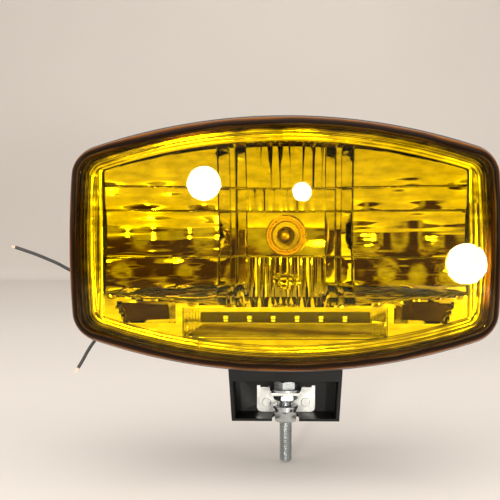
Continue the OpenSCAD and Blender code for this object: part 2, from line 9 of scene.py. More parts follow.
import bmesh
import bpy
import numpy as np
from mathutils import Euler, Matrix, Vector

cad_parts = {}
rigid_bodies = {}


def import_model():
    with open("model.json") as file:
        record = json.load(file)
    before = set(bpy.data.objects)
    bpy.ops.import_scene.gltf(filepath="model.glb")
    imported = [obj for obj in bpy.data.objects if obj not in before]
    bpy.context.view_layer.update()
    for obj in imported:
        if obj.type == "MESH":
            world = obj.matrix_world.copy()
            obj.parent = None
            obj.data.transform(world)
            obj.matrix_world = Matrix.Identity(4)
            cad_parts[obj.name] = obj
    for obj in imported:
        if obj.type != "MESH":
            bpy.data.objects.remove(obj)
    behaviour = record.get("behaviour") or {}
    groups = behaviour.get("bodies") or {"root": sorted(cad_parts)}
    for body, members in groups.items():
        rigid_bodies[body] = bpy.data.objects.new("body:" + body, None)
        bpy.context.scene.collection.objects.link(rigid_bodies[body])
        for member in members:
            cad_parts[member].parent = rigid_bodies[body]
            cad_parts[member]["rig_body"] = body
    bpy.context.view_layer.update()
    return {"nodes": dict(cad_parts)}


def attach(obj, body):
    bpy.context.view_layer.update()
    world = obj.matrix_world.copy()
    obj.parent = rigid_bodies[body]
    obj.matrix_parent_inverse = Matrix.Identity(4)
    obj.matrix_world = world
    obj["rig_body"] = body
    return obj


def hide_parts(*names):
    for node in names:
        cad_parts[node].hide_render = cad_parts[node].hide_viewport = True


MM = 0.001

# Sizes shared with the CAD.
RIM_HALF_W = 160
RIM_HALF_H = 95
BOW_R = 450
SIDE_R = 700
CORNER_R = 24
LAMP_Z = 143
BULB_UP = 6
BULB_Z = LAMP_Z + BULB_UP
GLASS_Y = -65
GLASS_T = 4
GLASS_SEAT = -43.8
SHELL_T = 2.6
MIRROR_HALF_W = 137
MIRROR_HALF_H = 77
MIRROR_BOW_R = 440
FLANGE_Y = -42.5
LEAD_R = 1.4
PIVOT_Y = 5
PIVOT_Z = 50.6
LED_Z = LAMP_Z - 57.5
BOARD_Y = -21

# Steps round a quarter of an outline.
SIDE_STEPS = 8
CORNER_STEPS = 14
BOW_STEPS = 30


# ---------- outlines and profiles ----------


def crossing(p, p_r, q, q_r):
    """Where two circles cross, on the upper right."""
    p, q = np.array(p, float), np.array(q, float)
    apart = np.linalg.norm(q - p)
    along = (q - p) / apart
    reach = (p_r**2 - q_r**2 + apart**2) / (2 * apart)
    height = math.sqrt(max(0.0, p_r**2 - reach**2))
    return p + reach * along + height * np.array([along[1], -along[0]])


def arc(centre, radius, start, end, steps):
    """Points on a circle, from one angle up to just before another."""
    angles = start + (end - start) * np.arange(steps) / steps
    return np.array(centre) + radius * np.column_stack([np.cos(angles), np.sin(angles)])


def outline(half_w, half_h, top_r, side_r, corner_r):
    """A bowed rectangle with round corners, as points from its right side up and round."""
    top = (0, half_h - top_r)
    side = (half_w - side_r, 0)
    corner = crossing(top, top_r - corner_r, side, side_r - corner_r)
    a_side = math.atan2(corner[1], corner[0] - side[0])
    a_top = math.atan2(corner[1] - top[1], corner[0])
    quarter = np.vstack(
        [
            arc(side, side_r, 0, a_side, SIDE_STEPS),
            arc(corner, corner_r, a_side, a_top, CORNER_STEPS),
            arc(top, top_r, a_top, math.pi / 2, BOW_STEPS),
            [[0, half_h]],
        ]
    )
    upper_left = quarter[-2::-1] * [-1, 1]
    lower_left = quarter[1:] * [-1, -1]
    lower_right = quarter[-2:0:-1] * [1, -1]
    return np.vstack([quarter, upper_left, lower_left, lower_right])


def rim(inset):
    return outline(RIM_HALF_W - inset, RIM_HALF_H - inset, BOW_R - inset, SIDE_R - inset, CORNER_R - inset)


def mirror_edge(grow, corner_r=1.5):
    half_w = MIRROR_HALF_W + grow
    return outline(half_w, MIRROR_HALF_H + grow, MIRROR_BOW_R + grow, 9000, corner_r + grow)


def at_depth(ring, y):
    """An outline round the lamp's middle, placed in space. y is one depth or one for each point."""
    return np.column_stack([ring[:, 0], np.broadcast_to(y, len(ring)), LAMP_Z + ring[:, 1]])


def smooth_line(points, steps):
    """A line that runs smoothly through points, with some steps between each two."""
    p = np.array(points, float)
    line = []
    for i in range(len(p) - 1):
        before, start, end, after = p[max(i - 1, 0)], p[i], p[i + 1], p[min(i + 2, len(p) - 1)]
        for t in np.arange(steps) / steps:
            line.append(
                0.5
                * (
                    2 * start
                    + (end - before) * t
                    + (2 * before - 5 * start + 4 * end - after) * t**2
                    + (3 * start - before - 3 * end + after) * t**3
                )
            )
    return np.array(line + [p[-1]])


# ---------- making pieces ----------


def new_object(name, data):
    obj = bpy.data.objects.new(name, data)
    bpy.context.scene.collection.objects.link(obj)
    return obj


def finish_piece(obj, material, body, stands_for, bevel, smooth):
    """Rounds a mesh's edges a little, gives it its material and hands it to its CAD body."""
    obj.data.materials.clear()
    obj.data.materials.append(material)
    for face in obj.data.polygons:
        face.use_smooth = True
    obj.data.set_sharp_from_angle(angle=math.radians(smooth))
    if bevel:
        rounding = obj.modifiers.new("rounding", "BEVEL")
        rounding.width = bevel * MM
        rounding.segments = 2
        rounding.limit_method = "ANGLE"
        rounding.angle_limit = math.radians(smooth)
        rounding.harden_normals = True
    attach(obj, body)
    if stands_for:
        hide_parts(*stands_for)
    return obj


def piece(name, points, faces, material, body, stands_for=(), bevel=0.0, smooth=35, attribute=None):
    """A mesh piece from points in millimetres. attribute is a name and a value for each point."""
    mesh = bpy.data.meshes.new(name)
    mesh.from_pydata((np.asarray(points, float) * MM).tolist(), [], [list(map(int, f)) for f in faces])
    if attribute:
        layer = mesh.attributes.new(attribute[0], "FLOAT", "POINT")
        layer.data.foreach_set("value", np.asarray(attribute[1], np.float32))
    tidy = bmesh.new()
    tidy.from_mesh(mesh)
    bmesh.ops.remove_doubles(tidy, verts=tidy.verts, dist=0.004 * MM)
    bmesh.ops.recalc_face_normals(tidy, faces=tidy.faces)
    tidy.to_mesh(mesh)
    tidy.free()
    return finish_piece(new_object(name, mesh), material, body, stands_for, bevel, smooth)


def joined(parts):
    """Several (points, faces) shapes as one."""
    points, faces, start = [], [], 0
    for part_points, part_faces in parts:
        points.append(np.asarray(part_points, float))
        faces += [[start + i for i in f] for f in part_faces]
        start += len(part_points)
    return np.vstack(points), faces


def loft(rings, close_start=False, close_end=False, round_trip=False):
    """A surface through rings of points. round_trip joins the last ring to the first."""
    n, m = len(rings[0]), len(rings)
    faces = []
    for i in range(m if round_trip else m - 1):
        for j in range(n):
            a, b = i * n + j, i * n + (j + 1) % n
            c, d = ((i + 1) % m) * n + j, ((i + 1) % m) * n + (j + 1) % n
            faces.append([a, b, d, c])
    if close_start:
        faces.append(list(range(n))[::-1])
    if close_end:
        faces.append([(m - 1) * n + j for j in range(n)])
    return np.vstack(rings), faces


def box(low, high):
    """A box as (points, faces)."""
    (x0, y0, z0), (x1, y1, z1) = low, high
    low_ring = np.array([[x0, y0, z0], [x1, y0, z0], [x1, y1, z0], [x0, y1, z0]], float)
    high_ring = low_ring + [0, 0, z1 - z0]
    return loft([low_ring, high_ring], close_start=True, close_end=True)


def across(axis):
    """Two directions square to an axis."""
    axis = np.array(axis, float)
    first = np.cross(axis, [0, 0, 1] if abs(axis[2]) < 0.9 else [1, 0, 0])
    first /= np.linalg.norm(first)
    return first, np.cross(axis, first)


def turned(profile, centre, axis, steps=64, closed=False):
    """A shape turned about an axis. profile is (radius, distance along the axis) for each ring."""
    axis = np.array(axis, float)
    u, v = across(axis)
    angles = 2 * math.pi * np.arange(steps) / steps
    circle = np.outer(np.cos(angles), u) + np.outer(np.sin(angles), v)
    rings = [np.array(centre) + radius * circle + along * axis for radius, along in profile]
    return loft(rings, close_start=not closed, close_end=not closed, round_trip=closed)


def hexagon(across_flats, height, centre, axis, bore=0.0, both_ends=True, turn=0.0):
    """A nut or bolt head with its corners cut back at 30 degrees. bore 0 makes it solid."""
    flat = across_flats / 2
    steps = 96
    axis = np.array(axis, float)
    u, v = across(axis)
    angles = 2 * math.pi * np.arange(steps) / steps
    corner = flat / np.cos((angles + math.pi / 6) % (math.pi / 3) - math.pi / 6)
    circle = np.outer(np.cos(angles + turn), u) + np.outer(np.sin(angles + turn), v)
    cut = (corner.max() - flat * 0.96) * math.tan(math.radians(30))
    near_end = [cut * k / 6 for k in range(7)]
    heights = (near_end if both_ends else [0]) + [height - h for h in near_end[::-1]]
    rings = []
    for h in heights:
        from_end = min(h, height - h) if both_ends else height - h
        limit = flat * 0.96 + from_end / math.tan(math.radians(30))
        rings.append(np.array(centre) + np.minimum(corner, limit)[:, None] * circle + h * axis)
    if not bore:
        return loft(rings, close_start=True, close_end=True)
    lead_in = min(0.9, height / 4)
    inner = [(bore + lead_in, height), (bore, height - lead_in), (bore, lead_in), (bore + lead_in, 0)]
    rings += [np.array(centre) + radius * circle + h * axis for radius, h in inner]
    return loft(rings, round_trip=True)


def thread(crest, root, pitch, low, high, centre, axis, ends=(0.0, 0.0)):
    """A threaded rod with a true helix. ends are how far each end tapers, for its chamfer."""
    steps, per_turn = 36, 8
    axis = np.array(axis, float)
    u, v = across(axis)
    angles = 2 * math.pi * np.arange(steps) / steps
    circle = np.outer(np.cos(angles), u) + np.outer(np.sin(angles), v)
    rings = []
    for h in np.linspace(low, high, int((high - low) / pitch * per_turn) + 1):
        phase = (h / pitch - angles / (2 * math.pi)) % 1
        height = np.clip(1.6 - 3.4 * np.abs(phase - 0.5), 0, 1)
        radius = root + (crest - root) * height
        for end, taper in ((low, ends[0]), (high, ends[1])):
            if taper:
                radius = np.minimum(radius, crest - max(0.0, taper - abs(h - end)))
        rings.append(np.array(centre) + radius[:, None] * circle + h * axis)
    return loft(rings, close_start=True, close_end=True)


def tube(line, radius, sides=12):
    """A round tube along a line."""
    line = np.array(line, float)
    rings, side = [], np.array([0.0, 0.0, 1.0])
    for i, point in enumerate(line):
        along = line[min(i + 1, len(line) - 1)] - line[max(i - 1, 0)]
        along /= np.linalg.norm(along)
        side = side - (side @ along) * along
        side /= np.linalg.norm(side)
        other = np.cross(along, side)
        angles = 2 * math.pi * np.arange(sides) / sides
        rings.append(point + radius * (np.outer(np.cos(angles), side) + np.outer(np.sin(angles), other)))
    return loft(rings, close_start=True, close_end=True)


def body_of(node):
    return frame["nodes"][node]["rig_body"]


def dressed(node, material, bevel=0.3, smooth=35):
    """A CAD node with its edges rounded, which stands for that node."""
    source = frame["nodes"][node]
    mesh = source.data.copy()
    tidy = bmesh.new()
    tidy.from_mesh(mesh)
    bmesh.ops.remove_doubles(tidy, verts=tidy.verts, dist=0.01 * MM)
    bmesh.ops.dissolve_limit(tidy, angle_limit=math.radians(1), verts=tidy.verts, edges=tidy.edges)
    tidy.to_mesh(mesh)
    tidy.free()
    obj = new_object(node + "_finished", mesh)
    return finish_piece(obj, material, body_of(node), [node], bevel, smooth)


# ---------- materials ----------


def add_node(tree, kind, inputs=None, **settings):
    """Adds a node to a tree. inputs gives each socket a value, or a link from another node's socket."""
    made = tree.nodes.new(kind)
    for name, value in settings.items():
        setattr(made, name, value)
    for socket, value in (inputs or {}).items():
        if isinstance(value, bpy.types.NodeSocket):
            tree.links.new(value, made.inputs[socket])
        else:
            made.inputs[socket].default_value = value
    return made


def fill_ramp(ramp, stops):
    """Gives a colour ramp its stops, which are (position, colour)."""
    elements = ramp.color_ramp.elements
    while len(elements) < len(stops):
        elements.new(0.5)
    for element, (position, colour) in zip(elements, stops):
        element.position = position
        element.color = (*colour, 1)


class Nodes:
    """A material's node tree, with short ways to add to it."""

    def __init__(self, name):
        self.material = bpy.data.materials.new(name if "-" in name else name + "-look")
        self.material.use_nodes = True
        self.tree = self.material.node_tree
        self.tree.nodes.clear()
        self.out = self.tree.nodes.new("ShaderNodeOutputMaterial")
        self.place = self.add("ShaderNodeTexCoord").outputs["Object"]

    def add(self, kind, inputs=None, **settings):
        return add_node(self.tree, kind, inputs, **settings)

    def noise(self, scale, detail=3, stretch=None):
        place = self.place
        if stretch:
            place = self.add("ShaderNodeMapping", {"Vector": place, "Scale": stretch}).outputs[0]
        noise = self.add("ShaderNodeTexNoise", {"Vector": place, "Scale": scale, "Detail": detail})
        return noise.outputs["Fac"]

    def cells(self, scale):
        return self.add("ShaderNodeTexVoronoi", {"Vector": self.place, "Scale": scale}).outputs["Color"]

    def between(self, fac, low, high, start=0.3, end=0.7):
        """A number that goes from low to high as fac goes from start to end."""
        spread = self.add(
            "ShaderNodeMapRange",
            {"Value": fac, "From Min": start, "From Max": end, "To Min": low, "To Max": high},
        )
        return spread.outputs[0]

    def ramp(self, fac, stops):
        """The colour that fac gives on a ramp. stops are (position, colour)."""
        ramp = self.add("ShaderNodeValToRGB", {"Fac": fac})
        fill_ramp(ramp, stops)
        return ramp.outputs[0]

    def bump(self, height, distance, strength=1.0):
        values = {"Height": height, "Distance": distance * MM, "Strength": strength}
        return self.add("ShaderNodeBump", values).outputs[0]

    def principled(self, **inputs):
        named = {name.replace("_", " "): value for name, value in inputs.items()}
        return self.add("ShaderNodeBsdfPrincipled", named)

    def shows(self, shader):
        self.tree.links.new(shader.outputs[0], self.out.inputs["Surface"])
        return self.material


def shade(colour, factor):
    return tuple(min(1.0, c * factor) for c in colour)


def plastic(name, colour, rough=0.4, grain=900, depth=0.03, shine=0.5):
    """Moulded plastic: a fine grain, slightly uneven gloss and a trace of dust."""
    n = Nodes(name)
    broad = n.noise(35, 4)
    fine = n.noise(grain, 2)
    base = n.ramp(broad, [(0.3, shade(colour, 0.8)), (0.7, shade(colour, 1.3))])
    shader = n.principled(
        Base_Color=base,
        Roughness=n.between(broad, rough * 0.8, rough * 1.25),
        Normal=n.bump(fine, depth),
        Specular_IOR_Level=shine,
    )
    return n.shows(shader)


def metal(name, colour, rough=0.3, cell=0, scratch=(1, 1, 14), depth=0.02):
    """Plated metal with fine marks. cell gives the size of a galvanised coat's crystals, if it has them."""
    n = Nodes(name)
    marks = n.noise(260, 5, stretch=scratch)
    tone = n.noise(60, 4)
    if cell:
        tone = n.cells(1000 / cell)
    base = n.ramp(tone, [(0.15, shade(colour, 0.82)), (0.85, shade(colour, 1.08))])
    shader = n.principled(
        Base_Color=base,
        Metallic=1.0,
        Roughness=n.between(marks, rough * 0.75, rough * 1.35),
        Normal=n.bump(marks, depth),
    )
    return n.shows(shader)


def mirror_metal(name, colour, rough, ripple):
    """Vacuum-metallised plastic: a bright mirror with the slight waviness of its moulding."""
    n = Nodes(name)
    waves = n.noise(38, 2)
    haze = n.noise(70, 5, stretch=(1, 1, 2.5))
    base = n.ramp(haze, [(0.32, shade(colour, 0.74)), (0.62, shade(colour, 1.03))])
    shader = n.principled(
        Base_Color=base,
        Metallic=1.0,
        Roughness=n.between(haze, rough * 0.6, rough * 1.5),
        Normal=n.bump(waves, ripple),
    )
    return n.shows(shader)


def tinted_glass(n, tint, gloss=0.03, ior=1.5, normal=None):
    """Clear coloured glass: light passes through it tinted, and its surface reflects by Fresnel."""
    through = n.add("ShaderNodeBsdfTransparent", {"Color": tint})
    shine = n.add("ShaderNodeBsdfGlossy", {"Color": (1, 1, 1, 1), "Roughness": gloss})
    share = n.add("ShaderNodeFresnel", {"IOR": ior})
    if normal:
        n.tree.links.new(normal, shine.inputs["Normal"])
        n.tree.links.new(normal, share.inputs["Normal"])
    return n.add("ShaderNodeMixShader", {0: share.outputs[0], 1: through.outputs[0], 2: shine.outputs[0]})


AMBER_CLEAR = (0.945, 0.85, 0.14)


def amber_glass():
    """The front glass: clear amber on its face, and painted shade on its thick shoulder: amber and
    near-black bands, the same from every side, that stand for the dark housing seen through the glass edge
    on.
    """
    n = Nodes("amber_glass")
    inset = n.add("ShaderNodeAttribute", attribute_name="inset").outputs["Fac"]
    where = n.between(inset, 0, 1, 0, 16)
    streaks = n.between(n.noise(22, 4), -0.05, 0.05)
    wavering = n.add("ShaderNodeMath", {0: where, 1: streaks}, operation="ADD").outputs[0]
    # Painted shade: the light let through the glass darkens towards the shoulder.
    tint = n.ramp(where, [(0.48, (0.12, 0.05, 0.006)), (0.55, (0.75, 0.58, 0.05)), (0.60, AMBER_CLEAR)])
    # Painted shade: an amber band, then near-black bands, on the opaque shoulder, standing for the dark
    # housing seen through the thick glass.
    edge = n.ramp(
        wavering,
        [
            (0.06, (0.03, 0.012, 0.004)),
            (0.09, (0.12, 0.040, 0.007)),
            (0.16, (0.30, 0.105, 0.012)),
            (0.22, (0.10, 0.033, 0.006)),
            (0.28, (0.03, 0.011, 0.003)),
            (0.34, (0.012, 0.005, 0.002)),
            (0.46, (0.008, 0.004, 0.002)),
            (0.52, (0.10, 0.05, 0.006)),
        ],
    )
    glass = tinted_glass(n, tint, 0.015, 1.2, n.bump(n.noise(12, 1), 0.012))
    body = n.principled(Base_Color=edge, Roughness=0.1, Specular_IOR_Level=0.06)
    share = n.between(where, 0.95, 0.0, 0.46, 0.56)
    mixed = n.add("ShaderNodeMixShader", {0: share, 1: glass.outputs[0], 2: body.outputs[0]})
    return n.shows(mixed)


def clear_plastic(name, tint, gloss):
    n = Nodes(name)
    haze = n.bump(n.noise(140, 2), 0.02)
    return n.shows(tinted_glass(n, (*tint, 1), gloss, 1.25, haze))


def led_face():
    """The yellow phosphor of an LED, with a painted glow: it gives off a little light of its own, the same
    whatever light falls on it.
    """
    n = Nodes("led")
    grains = n.noise(2500, 2)
    base = n.ramp(grains, [(0.3, (0.95, 0.86, 0.35)), (0.7, (1.0, 0.95, 0.6))])
    # Painted glow: the face's own colour is given off as light.
    shader = n.principled(Base_Color=base, Roughness=0.35, Emission_Strength=2.2)
    n.tree.links.new(base, shader.inputs["Emission Color"])
    return n.shows(shader)


def copper_strands():
    n = Nodes("copper")
    tone = n.noise(500, 3)
    base = n.ramp(tone, [(0.3, (0.62, 0.27, 0.16)), (0.7, (0.9, 0.52, 0.36))])
    return n.shows(n.principled(Base_Color=base, Metallic=1.0, Roughness=n.between(tone, 0.25, 0.45)))


# ---------- camera, light and surroundings ----------

CAMERA = Vector((0.012, -0.641, 0.1532))
FOCAL = 57.6
SENSOR = 36
# Where the lamp's middle falls in the picture, from its centre, as a share of its width.
LENS_RIGHT = 0.068
LENS_UP = 0.011
SHIFT_X = -0.06
# How bright the three round lamps are, in watts per steradian and square metre.
LAMP_RADIANCE = 250


def make_camera():
    data = bpy.data.cameras.new("camera")
    data.lens = FOCAL
    data.sensor_width = SENSOR
    data.shift_x = SHIFT_X
    data.clip_end = 50
    camera = new_object("camera", data)
    camera.location = CAMERA
    towards = Vector((0, GLASS_Y * MM, LAMP_Z * MM)) - CAMERA
    bearing = math.atan2(-towards.x, towards.y) + math.atan((LENS_RIGHT + SHIFT_X) * SENSOR / FOCAL)
    pitch = math.atan2(towards.z, towards.y) - math.atan(LENS_UP * SENSOR / FOCAL)
    camera.rotation_euler = Euler((math.pi / 2 + pitch, 0, bearing), "XYZ")
    bpy.context.scene.camera = camera


def area_light(name, place, aim, size, power, colour=(1, 1, 1), shape="RECTANGLE", size_y=None):
    data = bpy.data.lights.new(name, "AREA")
    data.shape = shape
    data.size = size
    if shape == "RECTANGLE":
        data.size_y = size_y or size
    data.energy = power
    data.color = colour
    light = new_object(name, data)
    light.location = place
    light.rotation_euler = (Vector(aim) - Vector(place)).to_track_quat("-Z", "Y").to_euler()
    return light


def make_lights():
    """Soft light from above and from both sides, and three small round lamps that the glass mirrors."""
    warm = (1.0, 0.955, 0.90)
    area_light("softbox_top", (0.1, -0.5, 1.5), (0, 0.1, 0.1), 1.6, 13, warm)
    area_light("softbox_left", (-1.7, -0.9, 0.7), (0, 0, 0.1), 1.1, 9, warm)
    area_light("softbox_right", (1.8, -0.7, 0.6), (0, 0, 0.1), 1.0, 7, warm)
    area_light("backdrop_light", (0.0, 0.9, 2.2), (0, 2.3, 0.2), 2.0, 7, warm)
    for i, (x, z, radius) in enumerate([(-58, 44, 12.2), (13, 38, 6.6), (131, -14, 14.5)]):
        mirrored_lamp(f"round_lamp_{i}", x, z, radius)


def mirrored_lamp(name, x, z, radius, reach=1.5):
    """A round lamp behind the camera, which the glass mirrors at (x, z) on its face, at this radius."""
    on_glass = Vector((x, GLASS_Y + glass_bow(x, z), LAMP_Z + z)) * MM
    slope_x, slope_z = 2 * GLASS_BOW * x / BOW_HALF_W**2, 2 * GLASS_BOW * z / BOW_HALF_H**2
    outward = Vector((slope_x, -1, slope_z)).normalized()
    seen_along = (on_glass - CAMERA).normalized()
    place = on_glass + reach * seen_along.reflect(outward)
    eye = (on_glass - CAMERA).length
    sizes = []
    for half in (BOW_HALF_W, BOW_HALF_H):
        bend = half**2 / (2 * GLASS_BOW) * MM
        sizes.append(2 * radius * MM * (1 + reach / eye + 2 * reach / bend))
    power = LAMP_RADIANCE * math.pi * math.pi * sizes[0] * sizes[1] / 4
    lamp = area_light(name, place, on_glass, sizes[0], power, (1, 0.98, 0.92), "ELLIPSE")
    lamp.data.size_y = sizes[1]


# Dark things in the room behind the camera, seen from the lamp: the x and z of each one's direction, as a
# direction of length one, and its half width and half height.
DARK_THINGS = [
    ((-0.50, 0.02), (0.09, 0.42)),
    ((0.47, 0.20), (0.17, 0.20)),
    ((0.34, 0.42), (0.14, 0.10)),
    ((-0.76, -0.05), (0.11, 0.50)),
    ((0.74, 0.00), (0.09, 0.42)),
]


def make_world():
    """A bright room with a few dark things in it, which give the mirror its contrast."""
    world = bpy.data.worlds.new("room")
    bpy.context.scene.world = world
    world.use_nodes = True
    tree = world.node_tree

    def add(kind, inputs=None, **settings):
        return add_node(tree, kind, inputs, **settings).outputs

    towards = add("ShaderNodeTexCoord")["Generated"]
    uneven = add("ShaderNodeTexNoise", {"Vector": towards, "Scale": 4.5, "Detail": 4})["Fac"]
    nearest = add("ShaderNodeMath", {0: uneven, 1: 1.45}, operation="MULTIPLY")[0]
    for (x, z), (half_w, half_h) in DARK_THINGS:
        stretch = (0.35 / half_w, 0, 0.35 / half_h)
        away = add("ShaderNodeVectorMath", {0: towards, 1: (x, 0, z)}, operation="SUBTRACT")[0]
        scaled = add("ShaderNodeVectorMath", {0: away, 1: stretch}, operation="MULTIPLY")[0]
        distance = add("ShaderNodeVectorMath", {0: scaled}, operation="LENGTH")["Value"]
        ragged = add("ShaderNodeMath", {0: uneven, 1: 0.5, 2: distance}, operation="MULTIPLY_ADD")[0]
        nearest = add("ShaderNodeMath", {0: nearest, 1: ragged}, operation="MINIMUM")[0]
    ramp = add_node(tree, "ShaderNodeValToRGB", {"Fac": nearest})
    dark_to_bright = [
        (0.50, (0.10, 0.05, 0.02)),
        (0.60, (0.38, 0.25, 0.13)),
        (0.66, (0.66, 0.60, 0.52)),
        (0.80, (0.98, 0.94, 0.88)),
    ]
    fill_ramp(ramp, dark_to_bright)
    # Past the edge of the floor the camera sees a plain pale wall, and the dark things are only mirrored.
    seen_straight = add("ShaderNodeLightPath")["Is Camera Ray"]
    wall = (0.84, 0.80, 0.76, 1)
    colours = {"Fac": seen_straight, "Color1": ramp.outputs[0], "Color2": wall}
    background = tree.nodes["Background"]
    tree.links.new(add("ShaderNodeMixRGB", colours)["Color"], background.inputs["Color"])
    background.inputs["Strength"].default_value = 0.8


def make_room():
    """A pale floor that meets a pale wall well behind the lamp."""
    n = Nodes("paper")
    tone = n.noise(1.3, 2)
    base = n.ramp(tone, [(0.3, (0.75, 0.715, 0.69)), (0.7, (0.78, 0.745, 0.72))])
    paper = n.shows(n.principled(Base_Color=base, Roughness=0.85, Normal=n.bump(n.noise(300, 3), 0.05)))
    floor_z, wall_y, half, curve_r = -0.0336, 2.35, 3.2, 0.05
    bend_y = wall_y - curve_r
    profile = [(-1.9, floor_z), (bend_y, floor_z)]
    for k in range(1, 9):
        turn = math.pi / 2 * k / 8
        profile.append((bend_y + curve_r * math.sin(turn), floor_z + curve_r * (1 - math.cos(turn))))
    profile.append((wall_y, 2.6))
    points = [(x, y, z) for y, z in profile for x in (-half, half)]
    faces = [[2 * i, 2 * i + 1, 2 * i + 3, 2 * i + 2] for i in range(len(profile) - 1)]
    mesh = bpy.data.meshes.new("room")
    mesh.from_pydata(points, [], faces)
    mesh.materials.append(paper)
    room = new_object("room_floor", mesh)
    for face in mesh.polygons:
        face.use_smooth = True


# ---------- leads ----------

# The routes of the CAD's leads: inside the housing, and from each grommet to the bare end.
LEAD_1_INSIDE = [(-4, 40.1, 149), (-6, 45, 149), (-18, 44, 147), (-32, 32, 145), (-40, 18, 143),
                 (-56, 9, 140), (-84, 0, 133), (-116, -14, 125), (-116, -4, 125), (-116, 8, 125)]
LEAD_1_FREE = [(-116, 8, 125), (-116, 14, 125), (-116, 20, 125), (-130, 28, 121), (-148, 32, 115),
               (-165, 32, 113), (-179, 31, 117.5), (-193, 30, 125), (-203, 29, 129.5), (-214, 28, 134),
               (-228, 26, 139)]
LEAD_2_INSIDE = [(-64, -16.2, 81), (-64, -8, 81), (-82, -4, 87), (-112, -14, 99), (-112, -4, 99),
                 (-112, 8, 99)]
LEAD_2_FREE = [(-112, 8, 99), (-112, 14, 99), (-112, 20, 99), (-122, 27, 92), (-136, 31, 83),
               (-149, 32, 74), (-159, 31, 64), (-167, 30, 53), (-172.5, 29, 43), (-176, 28, 37)]


def lead_curve(name, line, sleeve):
    """A round lead as a curve object along a line in millimetres."""
    data = bpy.data.curves.new(name, "CURVE")
    data.dimensions = "3D"
    data.bevel_depth = LEAD_R * MM
    data.bevel_resolution = 4
    data.use_fill_caps = True
    spline = data.splines.new("POLY")
    spline.points.add(len(line) - 1)
    for point, place in zip(spline.points, line):
        point.co = (*(place * MM), 1)
    data.materials.append(sleeve)
    lead = new_object(name, data)
    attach(lead, "lamp")
    return lead


def strands(line, length, copper, name, node):
    """Seven fine copper wires, slightly splayed, that show past the end of a lead."""
    end = line[-1]
    along = (line[-1] - line[-2]) / np.linalg.norm(line[-1] - line[-2])
    u, v = across(along)
    wires = [tube([end - along, end + along * length * 0.5, end + along * length], 0.24, 6)]
    for k in range(6):
        out = math.cos(math.pi * k / 3) * u + math.sin(math.pi * k / 3) * v
        reach = length * (0.86 + 0.12 * math.sin(2.3 * k))
        path = [end - along + 0.4 * out, end + 0.44 * out, end + along * reach * 0.55 + 0.5 * out]
        wires.append(tube(path + [end + along * reach + 0.62 * out], 0.2, 6))
    points, faces = joined(wires)
    return piece(name, points, faces, copper, "lamp", [node])


def make_leads(sleeve, copper):
    routes = ((1, LEAD_1_INSIDE, LEAD_1_FREE, 3), (2, LEAD_2_INSIDE, LEAD_2_FREE, 5))
    for number, inside, free, bare in routes:
        hidden = smooth_line(inside, 4)
        points, faces = tube(hidden, LEAD_R)
        piece(f"lead_{number}_inside", points, faces, sleeve, "lamp")
        line = smooth_line(free, 4)
        lead = lead_curve(f"lead_{number}_free", line, sleeve)
        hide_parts(f"lead_{number}")
        end = strands(line, bare, copper, f"lead_{number}_strands", f"lead_{number}_core")


# ---------- front glass ----------


# The face of the glass is bowed: it falls back by this much over these half sizes.
GLASS_BOW = 1.76
BOW_HALF_W = 146
BOW_HALF_H = 81


def glass_bow(x, z):
    return GLASS_BOW * ((x / BOW_HALF_W) ** 2 + (z / BOW_HALF_H) ** 2)


def make_front_glass(glass, sealant):
    """A shallow dish with a rounded shoulder. Each point knows how far in from the rim it is.

    The inner wall counts as clear, so that only the outside of the shoulder carries the painted shade.
    """
    shoulder_out = smooth_line(
        [(1.2, GLASS_SEAT), (1.2, -51), (1.7, -56), (3.2, -59.8), (5.4, -62.1), (8, -62.9)], 4
    )
    shoulder_in = smooth_line([(9, -58.6), (7, -56), (5.9, -51.5), (5.6, GLASS_SEAT)], 4)
    face = rim(10)
    rings = [at_depth(rim(inset), y) for inset, y in shoulder_out]
    scales = [1, 0.985, 0.96, 0.88, 0.75, 0.6, 0.45, 0.3, 0.15]
    clear = 14
    for depth, order in ((0, scales), (GLASS_T, scales[::-1])):
        for s in order:
            ring = face * s
            rings.append(at_depth(ring, GLASS_Y + depth + glass_bow(ring[:, 0], ring[:, 1])))
    rings += [at_depth(rim(inset), y) for inset, y in shoulder_in]
    over_face = [10 + 100 * (1 - s) for s in scales]
    insets = [inset for inset, _ in shoulder_out] + over_face + over_face[::-1] + [clear] * len(shoulder_in)
    n = len(face)
    points, faces = loft(rings, round_trip=True)
    inner_start = (len(shoulder_out) + len(scales)) * n
    faces = [f for f in faces if not f[0] < inner_start <= f[2]]
    faces.append([inner_start - n + j for j in range(n)])
    faces.append([inner_start + j for j in range(n)][::-1])
    values = np.repeat(insets, n)
    from_rim = ("inset", values)
    piece("front_glass", points, faces, glass, "lamp", ["front_lens"], smooth=60, attribute=from_rim)
    bead = ((6.2, -43.6), (6.6, -45.8), (8.5, -46.1), (10.6, -45.6), (10.9, -43.6))
    seal = [at_depth(rim(inset), y) for inset, y in bead]
    points, faces = loft(seal)
    piece("sealant_bead", points, faces, sealant, "lamp", ["lens_sealant"], smooth=60)


# ---------- mirror ----------

# Heights, from the lamp's middle, where one row of facets meets the next.
FACET_ROWS = [-36, -11, 25.5, 44, 80]
BULB_ROW = 1
CREASE_HALF = 0.8
# The wings: their depth at the middle, how tightly they curve, where they become straight, how far forward
# they are there, and their slope from there on.
WING_ROOT_Y = 1.5
WING_CURVE = 520
WING_STRAIGHT = 85
WING_AHEAD = 13.9
WING_SLOPE = 0.327
PILLOW_START = 47
PILLOW_PITCH = 45
